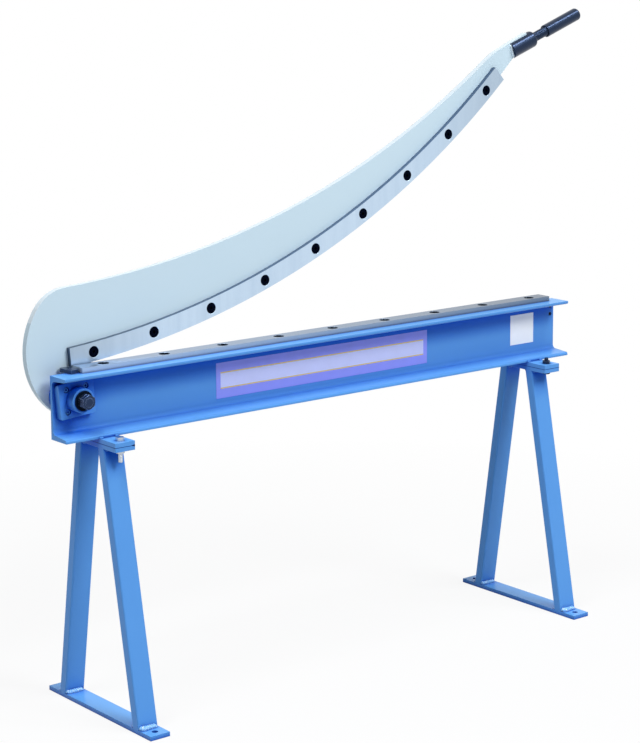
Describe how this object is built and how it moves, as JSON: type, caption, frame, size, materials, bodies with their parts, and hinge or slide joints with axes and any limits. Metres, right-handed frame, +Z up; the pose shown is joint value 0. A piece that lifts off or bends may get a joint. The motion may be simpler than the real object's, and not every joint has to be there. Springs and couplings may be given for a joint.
{
  "type": "squaring shear",
  "caption": "Long hand lever shear: a curved blade on a sword-shaped lever closes past a straight blade on a channel beam that stands on A-frame stands.",
  "frame": {"origin": "on the floor, at the middle of the four floor bolt holes", "axes": "+X along the beam from the pivot to the handle end, +Y from the operator to the back, +Z up"},
  "size_m": [1.6562, 0.41, 1.504],
  "materials": {
    "blue_paint": "satin",
    "pale_blue_paint": "satin",
    "ground_steel": "ground",
    "blackened_steel": "gloss",
    "zinc_plate": "plated",
    "bronze": "machined"
  },
  "bodies": {
    "stand": {"channel_beam": "blue_paint", "beam_end_screws": "blackened_steel", "pivot_housing": "blue_paint", "housing_screws": "blue_paint", "pivot_bolt": "blackened_steel", "spacer_disc": "blackened_steel", "front_washer": "blackened_steel", "pivot_nut": "blackened_steel", "lock_nut": "blackened_steel", "rear_washer": "blackened_steel", "lower_blade": "ground_steel", "lower_blade_screws": "blackened_steel", "heel_block": "blackened_steel", "heel_block_screw": "blackened_steel", "left_tab_plate": "blue_paint", "left_top_plate": "blue_paint", "left_front_leg": "blue_paint", "left_rear_leg": "blue_paint", "left_foot_plate": "blue_paint", "left_stand_bolts": "zinc_plate", "left_stand_nuts": "zinc_plate", "left_stand_washers": "zinc_plate", "right_tab_plate": "blue_paint", "right_top_plate": "blue_paint", "right_front_leg": "blue_paint", "right_rear_leg": "blue_paint", "right_foot_plate": "blue_paint", "right_stand_bolts": "blackened_steel", "right_stand_nuts": "blackened_steel"},
    "lever": {"lever_plate": "pale_blue_paint", "pivot_bush": "bronze", "upper_blade": "ground_steel", "upper_blade_screws": "blackened_steel", "handle_socket": "blackened_steel", "handle_stud": "blackened_steel", "handle_grip": "blackened_steel"}
  },
  "joints": [
    {"name": "lever_pivot", "type": "hinge", "parent": "stand", "child": "lever", "pos_m": [-0.6935, 0.0627, 0.716], "axis": [0, -1, 0], "range_deg": [-24.5, 6]}
  ]
}
